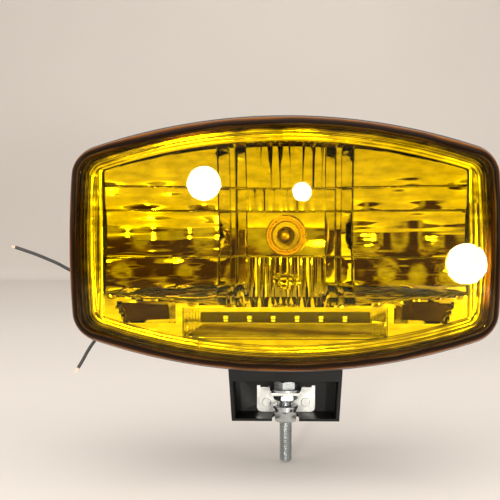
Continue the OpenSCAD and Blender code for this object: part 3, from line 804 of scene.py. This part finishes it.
# Where the sunk column's sides step, out from the middle, and the share of its full depth at each step.
PILLAR_STEPS = [31.6, 32.2, 40, 40.6, 44, 44.6, 53, 53.6]
PILLAR_SHARES = [1, 0.72, 0.52, 0.44, 0.40, 0.27, 0.05, 0]
COLUMN_SUNK = 12
FLUTE_PITCH = 8.4
FLUTE_SHIFT = 4
FASCIA_Y = -39
RECESS_IN = 84
RECESS_OUT = 124
RECESS_LOW = -58.5
RECESS_HIGH = -44.5
WINDOW = (-72.5, -48)
WINDOW_HALF_W = 77.5
BULB_HOLE_R = 15


def mirror_top(x):
    return MIRROR_HALF_H - MIRROR_BOW_R + np.sqrt(MIRROR_BOW_R**2 - np.asarray(x, float) ** 2)


def row_parts(z):
    """The number of the facet row at each height, and that row's middle and half height."""
    rows = np.array(FACET_ROWS, float)
    row = np.clip(np.searchsorted(FACET_ROWS, z, side="right") - 1, 0, len(FACET_ROWS) - 2)
    return row, (rows[row] + rows[row + 1]) / 2, (rows[row + 1] - rows[row]) / 2


def smooth_step(x, start, end):
    t = np.clip((x - start) / (end - start), 0, 1)
    return t * t * (3 - 2 * t)


def box_mask(x, x0, x1, z, z0, z1, edge=1.2):
    """1 inside a rectangle and 0 outside, with a narrow slope between."""
    inside_x = smooth_step(x, x0 - edge, x0) * (1 - smooth_step(x, x1, x1 + edge))
    return inside_x * smooth_step(z, z0 - edge, z0) * (1 - smooth_step(z, z1, z1 + edge))


def facet_depth(x, z):
    """The plain mirror: rows of facets, each turned towards the bulb and slightly crowned."""
    _, middle, half = row_parts(z)
    offset = z - middle
    side = np.abs(x)
    # The wings curve forward, and run straight near their outer ends.
    straight = WING_AHEAD + (side - WING_STRAIGHT) * WING_SLOPE
    forward = np.where(side < WING_STRAIGHT, x**2 / WING_CURVE, straight)
    towards_bulb = (middle - BULB_UP) ** 2 / 300 + offset * (middle - BULB_UP) / 170
    crown = (offset**2 - half**2) / 190
    return WING_ROOT_Y - forward - towards_bulb - crown


def pillow_depth(x, z):
    """Broad pillows across each wing, and the fine streaks of its moulding."""
    row, middle, half = row_parts(z)
    turn = 2 * math.pi * (np.abs(x) - PILLOW_START) / PILLOW_PITCH + 1.9 * row
    pillow = 0.9 * np.cos(turn) * np.cos(math.pi * (z - middle) / (2.2 * half))
    streak = 0.10 * np.sin(0.62 * z + 0.018 * x + 1.7 * row) + 0.07 * np.sin(1.35 * z - 0.05 * x)
    return pillow + streak


def flute_depth(x, z):
    """Upright flutes in the sunk column, shifted on every other row and left out beside the bulb."""
    row, _, _ = row_parts(z)
    phase = (x + FLUTE_SHIFT * (row % 2)) / FLUTE_PITCH
    flute = 1.6 * (2 * np.abs(phase - np.floor(phase) - 0.5)) ** 2 - 0.8
    in_column = 1 - smooth_step(np.abs(x), PILLAR_STEPS[0] - 2.1, PILLAR_STEPS[0])
    return np.where(row == BULB_ROW, 0, flute) * in_column


def fascia_depth(x, z):
    """The upright face under the shelf, with a sloping recess on each side of the LED window."""
    side = np.abs(x)
    recess = box_mask(side, RECESS_IN, RECESS_OUT + (z + 50) * 0.35, z, RECESS_LOW, RECESS_HIGH)
    return FASCIA_Y + (1.5 + 0.33 * (RECESS_OUT - side) + 0.19 * (z + 58)) * recess


def mirror_depth(x, z):
    """Depth of the mirror, at points given from the lamp's middle."""
    side = np.abs(x)
    sunk = np.interp(side, PILLAR_STEPS, PILLAR_SHARES)
    on_wing = 1 - np.clip(sunk * 3, 0, 1)
    depth = facet_depth(x, z) + pillow_depth(x, z) * on_wing + COLUMN_SUNK * sunk + flute_depth(x, z)
    for crease in FACET_ROWS[1:-1]:
        depth = depth - 0.9 * np.clip(1 - np.abs(z - crease) / CREASE_HALF, 0, 1)
    # An oval boss under the bulb.
    oval = 1 - (x / 10.5) ** 2 - ((z + 31) / 5.6) ** 2
    depth = depth - 3.2 * np.sqrt(np.clip(oval, 0, 1))
    # The shelf runs forward from the facets to the fascia.
    shelf_back = np.interp(side, [30, 34, MIRROR_HALF_W], [-44, -32, -36])
    fascia_top = -47.5 + 9 * (side / MIRROR_HALF_W) ** 2
    shelf = np.clip((shelf_back - z) / np.maximum(shelf_back - fascia_top, 1), 0, 1)
    depth = depth + (fascia_depth(x, z) - depth) * shelf
    return np.clip(depth, -40, 15.5)


def grid_lines(low, high, step, marks):
    """Evenly spaced values, with a close pair at each mark so that a crease there stays sharp."""
    even = np.arange(low, high + step / 2, step)
    pairs = [m + side * 0.12 for m in marks for side in (-1, 1)]
    kept = [v for v in even if all(abs(v - p) > step * 0.3 for p in pairs)]
    return np.array(sorted(set(kept + pairs)))


def make_mirror(chrome, satin, seat_painted_reflection):
    x_marks = [s * v for v in (*PILLAR_STEPS, WINDOW_HALF_W) for s in (-1, 1)]
    xs = grid_lines(-MIRROR_HALF_W, MIRROR_HALF_W, 1.6, x_marks)
    xs[0], xs[-1] = -MIRROR_HALF_W, MIRROR_HALF_W
    creases = FACET_ROWS[1:-1]
    z_marks = creases + [*WINDOW, *(c + d for c in creases for d in (-CREASE_HALF, CREASE_HALF))]
    zs = grid_lines(-MIRROR_HALF_H - 1, MIRROR_HALF_H + 1, 1.5, z_marks)
    top = mirror_top(xs)
    x_grid, z_grid = np.meshgrid(xs, zs, indexing="ij")
    z_grid = np.clip(z_grid, -top[:, None], top[:, None])
    y_grid = mirror_depth(x_grid, z_grid)
    points = np.column_stack([x_grid.ravel(), y_grid.ravel(), LAMP_Z + z_grid.ravel()])
    nz = len(zs)
    faces = []
    for i in range(len(xs) - 1):
        for j in range(nz - 1):
            corners = [i * nz + j, (i + 1) * nz + j, (i + 1) * nz + j + 1, i * nz + j + 1]
            x, _, z = points[corners].mean(axis=0) - [0, 0, LAMP_Z]
            in_window = abs(x) < WINDOW_HALF_W and WINDOW[0] < z < WINDOW[1]
            flat = abs(points[corners[0]][2] - points[corners[3]][2]) < 1e-6 > abs(
                points[corners[1]][2] - points[corners[2]][2]
            )
            if not (in_window or flat or math.hypot(x, z - BULB_UP) < BULB_HOLE_R):
                faces.append(corners)
    piece("mirror", points, faces, chrome, "lamp", ["reflector"], smooth=24)
    make_mirror_margin(satin)
    make_bulb_seat(seat_painted_reflection)


# Steps of the margin beyond the mirror: how far in from the rim, and how far behind the flange.
MARGIN_STEPS = [
    (17.6, 1.9), (17.1, 2.2), (16.4, 2.2), (15.9, 1.5), (14.9, 0.2), (14.4, 0), (12.8, 0),
    (12.4, -0.4), (12.0, -3.6), (11.5, -4.0), (10.4, -4.0), (10.1, -4.4), (9.6, -4.4), (9.3, -4.0),
    (7.2, -4.0), (6.9, -3.4),
]


def make_mirror_margin(satin):
    """The smooth margin round the mirror, with stepped lines and small locating ticks."""
    edge = mirror_edge(0)
    deep = mirror_depth(edge[:, 0], np.clip(edge[:, 1], -mirror_top(edge[:, 0]), mirror_top(edge[:, 0])))
    rings = [at_depth(edge, deep + 0.6), at_depth(edge, FLANGE_Y + 1.2)]
    for grow, y in ((0.4, FLANGE_Y + 0.3), (1.2, FLANGE_Y), (2.4, FLANGE_Y), (2.8, FLANGE_Y + 0.8)):
        rings.append(at_depth(mirror_edge(grow), y))
    for inset, y in MARGIN_STEPS:
        rings.append(at_depth(rim(inset), FLANGE_Y + y))
    parts = [loft(rings)]
    for x, z in ((-118, 64), (64, 75.5), (143, 32), (-64, -75.5)):
        low = (x - 0.5, FLANGE_Y - 0.5, LAMP_Z + z - 1.6)
        parts.append(box(low, (x + 0.5, FLANGE_Y + 1, LAMP_Z + z + 1.6)))
    points, faces = joined(parts)
    piece("mirror_margin", points, faces, satin, "lamp", smooth=28)


def make_bulb_seat(ring_painted_reflection):
    """The ring that the bulb sits in, with a groove round it, in a brown that paints the dark reflection
    seen in it.
    """
    profile = [
        (16.5, 16), (16.5, 12.2), (15.9, 11.5), (14.4, 11.5), (14.1, 12.1),
        (13.5, 12.1), (13.2, 11.5), (12.0, 11.5), (11.5, 12.2), (11.5, 16),
    ]
    points, faces = turned(profile, (0, 0, BULB_Z), (0, 1, 0), closed=True)
    piece("bulb_seat", points, faces, ring_painted_reflection, "lamp", smooth=28)


# ---------- position light ----------


def make_leds(white, phosphor, solder, black, chrome):
    """Six square LEDs over a bright lip that mirrors them.

    Each is a white body with a yellow face and two solder pads, with a black strip behind its upper edge
    that paints the shade there.
    """
    pitch, half = 18.5, 1.75
    bodies, faces_lit, pads, shade_strips = [], [], [], []
    for i in range(6):
        x = (i - 2.5) * pitch
        front = BOARD_Y - 1.9
        outer = [(half, 0), (half, 1.3), (half - 0.2, 1.9), (half - 0.45, 1.9), (half - 0.6, 1.65)]
        rings = []
        for reach, up in outer:
            tall = reach * 1.4 / half
            rings.append(np.array([[x + a * reach, BOARD_Y - up, LED_Z + b * tall]
                                   for a, b in ((1, 1), (-1, 1), (-1, -1), (1, -1))]))
        bodies.append(loft(rings))
        lit = half - 0.35
        lit_z = lit * 0.8
        faces_lit.append(box((x - lit, front, LED_Z - lit_z), (x + lit, front + 0.5, LED_Z + lit_z)))
        # Painted shade: a black strip along each LED's upper edge.
        shade_strips.append(box((x - 2.3, BOARD_Y - 0.9, LED_Z + 1.6), (x + 2.3, BOARD_Y, LED_Z + 3.4)))
        for side in (-1, 1):
            x_pad = x + side * (half + 0.15)
            pads.append(box((x_pad - 0.4, BOARD_Y - 0.45, LED_Z - 1), (x_pad + 0.4, BOARD_Y, LED_Z + 1)))
    points, faces = joined(bodies)
    piece("led_bodies", points, faces, white, "lamp", ["leds"], smooth=30)
    points, faces = joined(faces_lit)
    piece("led_faces", points, faces, phosphor, "lamp", bevel=0.08)
    lip = [(BOARD_Y - 11.9, LED_Z - 2.8), (BOARD_Y - 4.5, LED_Z - 1.5), (BOARD_Y - 4.5, LED_Z - 2.8)]
    points, faces = loft([np.array([[x, y, z] for y, z in lip]) for x in (-67, 67)], True, True)
    piece("led_lip", points, faces, chrome, "lamp")
    points, faces = joined(shade_strips)
    piece("led_shade_strips", points, faces, black, "lamp", bevel=0.2)
    points, faces = joined(pads)
    piece("led_pads", points, faces, solder, "lamp", bevel=0.15)


# ---------- bulb ----------


def make_bulb(glass, coat, tungsten, nickel):
    centre = (0, 0, BULB_Z)
    capsule = [(6.1, 8.5), (6.1, -17.6), (5.9, -19), (5.2, -20.4), (4.0, -21.3), (2.4, -21.8), (0.02, -22)]
    points, faces = turned(capsule[:2], centre, (0, 1, 0), steps=48)
    piece("bulb_capsule", points, faces[:-2], glass, "lamp", ["bulb_glass"], smooth=50)
    points, faces = turned(smooth_line(capsule[1:], 2), centre, (0, 1, 0), steps=48)
    piece("bulb_tip", points, faces[:-2], coat, "lamp", smooth=60)
    turns = 10
    coil = []
    for k in range(turns * 12 + 1):
        a = 2 * math.pi * k / 12
        coil.append((0.6 * math.cos(a), -9.3 + 4.3 * k / (turns * 12), BULB_Z + 0.6 * math.sin(a)))
    wires = [tube(coil, 0.14, 6)]
    for side, y in ((-1, -9.4), (1, -5.0)):
        wires.append(tube([(side * 2.6, 8.2, BULB_Z), (side * 2.6, y + 1, BULB_Z), (side * 2.2, y, BULB_Z),
                           (side * 0.5, y, BULB_Z)], 0.3, 8))
    points, faces = joined(wires)
    piece("bulb_wires", points, faces, tungsten, "lamp", ["bulb_filament"])
    base = [
        (6.25, 8.6), (6.25, 4.3), (6.6, 4), (7.0, 4.2), (7.2, 4.7), (7.2, 9.6), (6.9, 10),
        (7.2, 10.4), (7.2, 16), (12.7, 16), (13, 16.3), (13, 17.2), (12.7, 17.5), (6.25, 17.5),
    ]
    points, faces = turned(base, centre, (0, 1, 0), closed=True)
    piece("bulb_metal_base", points, faces, nickel, "lamp", ["bulb_base"], smooth=28)


# ---------- housing ----------


def mixed(a, b, t):
    return a + (b - a) * t


def bowl_ring(t, inset):
    """A ring of the bowl, from the rim (0) to the back (1)."""
    wide, tall = t**1.1, t * t * (0.45 + 0.55 * t)
    return outline(
        mixed(153, 62, wide) - inset,
        mixed(88, 59, tall) - inset,
        mixed(430, 68, tall) - inset,
        mixed(690, 76, wide) - inset,
        mixed(19, 42, wide) - inset,
    )


def bowl_depth(t):
    return -39 + 66 * math.sin(math.pi / 2 * t) - 3 * t


def make_housing(black):
    """The bowl and its rim, the collar for the rear cover, and the tongue that hangs on the pivot."""
    steps = 22
    outer = [at_depth(bowl_ring(i / steps, 0), bowl_depth(i / steps)) for i in range(steps + 1)]
    inner = [
        at_depth(bowl_ring(i / steps, SHELL_T), bowl_depth(i / steps) - SHELL_T * i / steps)
        for i in range(steps, -1, -1)
    ]
    back = [at_depth(bowl_ring(1, 12), bowl_depth(1)), at_depth(bowl_ring(1, 12), bowl_depth(1) - SHELL_T)]
    lip = [(0.9, -50), (0.3, -50), (0, -49.6), (0, -41.3), (0.4, -41)]
    front = [at_depth(rim(i), y) for i, y in lip]
    seat = [at_depth(rim(11.5), -43.5), at_depth(rim(0.9), -43.5)]
    bowl = loft(front + outer + back + inner + seat, round_trip=True)
    collar_profile = [(46, 24), (51, 21), (53, 21), (53, 43.6), (52.6, 44), (46.4, 44), (46, 43.6)]
    collar = turned(collar_profile, (0, 0, BULB_Z), (0, 1, 0), steps=96, closed=True)
    parts = [bowl, collar, keel_shape()]
    for x, z in ((-116, 125), (-112, 99)):
        boss = [(5, -6), (8, -10), (8, 1.5), (7.5, 2), (4, 2)]
        parts.append(turned(boss, (x, 6, z), (0, 1, 0), steps=40, closed=True))
    breather_boss = [(2, 8), (7, 8), (7, 25.6), (6.6, 26), (2, 26)]
    parts.append(turned(breather_boss, (62, 0, LAMP_Z + 30), (0, 1, 0), steps=40, closed=True))
    points, faces = joined(parts + back_ribs())
    piece("housing_shell", points, faces, black, "lamp", ["housing"], smooth=28)


def back_ribs():
    """Stiffening ribs that run down the bowl's back, from near the collar to near the rim."""
    ribs = []
    for side in (-1, 1):
        for z in (-34, -17, 0, 17, 34):
            crest, foot = [], []
            for k in range(13):
                t = 0.42 + 0.5 * k / 12
                edge = bowl_ring(t, 0)
                right = edge[: SIDE_STEPS + CORNER_STEPS]
                x = side * np.interp(abs(z), right[:, 1], right[:, 0])
                rise = 1.8 * math.sin(math.pi * k / 12) ** 0.5
                crest.append((x, bowl_depth(t) + rise, LAMP_Z + z))
                foot.append((x, bowl_depth(t) - 1.5, LAMP_Z + z))
            rings = [np.array([np.add(f, (0, 0, -1)), np.add(c, (0, 0, -0.6)), np.add(c, (0, 0, 0.6)),
                               np.add(f, (0, 0, 1))]) for f, c in zip(foot, crest)]
            ribs.append(loft(rings, close_start=True, close_end=True))
    return ribs


def keel_shape():
    """The tongue under the bowl, which ends in an eye round the pivot bolt."""
    half, pivot_y, pivot_z, eye_r = 16.7, PIVOT_Y, PIVOT_Z, 7
    angles = np.radians(np.linspace(200, 340, 15))
    low = [(pivot_y + eye_r * math.cos(a), pivot_z + eye_r * math.sin(a)) for a in angles]
    side = [(-12, LAMP_Z - 85)] + low + [(19, LAMP_Z - 73.4), (14, LAMP_Z - 76.8), (6, LAMP_Z - 81)]
    rings = [np.array([(x, y, z) for y, z in side]) for x in (-half, half)]
    return loft(rings, close_start=True, close_end=True)


# ---------- fasteners ----------


def make_fasteners(zinc):
    """The stud with its nuts and washers, and the pivot bolt through the foot's ears."""
    up = (0, 0, 1)
    stud = thread(5, 4.25, 1.5, -32, 26.5, (0, 0, 0), up, ends=(1.1, 0))
    head = hexagon(17, 6.4, (0, 0, 26.5), up, both_ends=False, turn=0.3)
    points, faces = joined([stud, head])
    piece("stud_and_head", points, faces, zinc, "stud", ["stud_bolt"], smooth=26)
    for name, node, flats, low, height, bore, turn in (
        ("stud_nut_cut", "stud_nut", 17, 0, 8.4, 4.4, 0.5),
        ("strap_nut_cut", "strap_nut", 17, 17, 5, 4.4, 0.15),
    ):
        points, faces = hexagon(flats, height, (0, 0, low), up, bore=bore, turn=turn)
        piece(name, points, faces, zinc, body_of(node), [node], smooth=26)
    for name, node, outer, low in (
        ("head_washer_cut", "head_washer", 13, 24.5),
        ("flat_washer_cut", "flat_washer", 10.2, 10.6),
    ):
        profile = [
            (5.3, 0.15), (5.45, 0), (outer - 0.35, 0), (outer, 0.3),
            (outer, 1.75), (outer - 0.2, 2), (5.45, 2), (5.3, 1.85),
        ]
        points, faces = turned(profile, (0, 0, low), up, closed=True)
        piece(name, points, faces, zinc, body_of(node), [node], smooth=30)
    make_pivot(zinc)


def make_pivot(zinc):
    """The pivot bolt, with its thread cut only where the nut sits, and its nut."""
    right = (1, 0, 0)
    centre = (0, PIVOT_Y, PIVOT_Z)
    shank = thread(4, 3.45, 1.25, -34, -20, centre, right, ends=(0.8, 0))
    body = turned([(3.95, -20.2), (3.95, 25.7)], centre, right, steps=40)
    head = hexagon(13, 5.3, (25.6, PIVOT_Y, PIVOT_Z), right, both_ends=False)
    points, faces = joined([shank, body, head])
    piece("pivot_bolt_cut", points, faces, zinc, body_of("pivot_bolt"), ["pivot_bolt"], smooth=26)
    points, faces = hexagon(13, 6.8, (-32.4, PIVOT_Y, PIVOT_Z), right, bore=3.6, turn=0.2)
    piece("pivot_nut_cut", points, faces, zinc, body_of("pivot_nut"), ["pivot_nut"], smooth=26)


# ---------- everything ----------

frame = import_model()
bpy.context.scene.view_settings.view_transform = "Standard"

make_camera()
make_lights()
make_world()
make_room()

black_housing = plastic("housing_plastic", (0.022, 0.022, 0.023), 0.42, grain=1100, depth=0.05)
black_cover = plastic("cover_plastic", (0.028, 0.028, 0.028), 0.5, grain=800, depth=0.06)
black_foot = plastic("foot_plastic", (0.007, 0.0065, 0.006), 0.42, grain=500, depth=0.015, shine=0.14)
rubber = plastic("seal_rubber", (0.03, 0.03, 0.03), 0.65, grain=700, depth=0.05)
sleeve = plastic("lead_sleeve", (0.02, 0.019, 0.018), 0.35, grain=300, depth=0.03)
sealant = plastic("sealant", (0.012, 0.010, 0.009), 0.3, grain=200, depth=0.1)
chrome = mirror_metal("mirror_plastic", (0.93, 0.915, 0.88), 0.04, 0.08)
satin = mirror_metal("mirror_plastic-margin", (0.95, 0.93, 0.88), 0.1, 0.01)
# Painted reflection: the seat is mirror plastic, and its brown tone stands for the dark reflection seen in
# it.
seat_painted_reflection = metal("mirror_plastic-seat", (0.34, 0.22, 0.10), 0.3, scratch=(1, 1, 1))
zinc = metal("zinc", (0.47, 0.50, 0.51), 0.28)
galvanised = metal("galvanised", (0.53, 0.53, 0.51), 0.42, cell=7, scratch=(1, 1, 1))
nickel = metal("nickel", (0.27, 0.22, 0.17), 0.3)
steel = metal("spring_steel", (0.6, 0.6, 0.6), 0.25)
tungsten = metal("tungsten", (0.45, 0.44, 0.43), 0.35)
board = plastic("circuit_board", (0.045, 0.028, 0.015), 0.35, grain=1500, depth=0.02)
chip = plastic("resistor", (0.02, 0.02, 0.02), 0.4, grain=2000)
white = plastic("led-package", (0.75, 0.72, 0.6), 0.4, grain=2500, depth=0.01)
ceramic = plastic("ceramic_brown", (0.16, 0.07, 0.03), 0.5, grain=1500)
cream = plastic("connector_plastic", (0.72, 0.69, 0.6), 0.45)
window = clear_plastic("clear_plastic", (0.96, 0.96, 0.94), 0.06)
capsule = clear_plastic("bulb_glass", (0.93, 0.93, 0.93), 0.02)
tip_coat = metal("bulb_glass-tip", (0.30, 0.22, 0.16), 0.3, scratch=(1, 1, 1))

make_leads(sleeve, copper_strands())
make_front_glass(amber_glass(), sealant)
make_mirror(chrome, satin, seat_painted_reflection)
make_leds(white, led_face(), zinc, chip, chrome)
make_bulb(capsule, tip_coat, tungsten, nickel)
make_housing(black_housing)
make_fasteners(zinc)

dressed("led_trough", chrome, 0.3)
dressed("led_board", board, 0.1)
dressed("led_resistors", chip, 0.1)
dressed("led_window", window, 0.3)
dressed("reflector_screws", zinc, 0.25)
dressed("bulb_socket", ceramic, 0.3)
dressed("bulb_terminals", nickel, 0.1)
dressed("bulb_connector", cream, 0.6)
dressed("bulb_clip", steel, 0.0, smooth=50)
dressed("rear_cover", black_cover, 0.5)
dressed("cover_seal", rubber, 0.3)
dressed("breather", rubber, 0.5)
dressed("grommets", rubber, 0.5)
dressed("foot_shoe", black_foot, 0.5)
dressed("strap", galvanised, 0.4)
dressed("strap_rivets", galvanised, 0.4)
dressed("spring_washer", zinc, 0.15)
dressed("pivot_washers", zinc, 0.25)

bpy.context.view_layer.update()
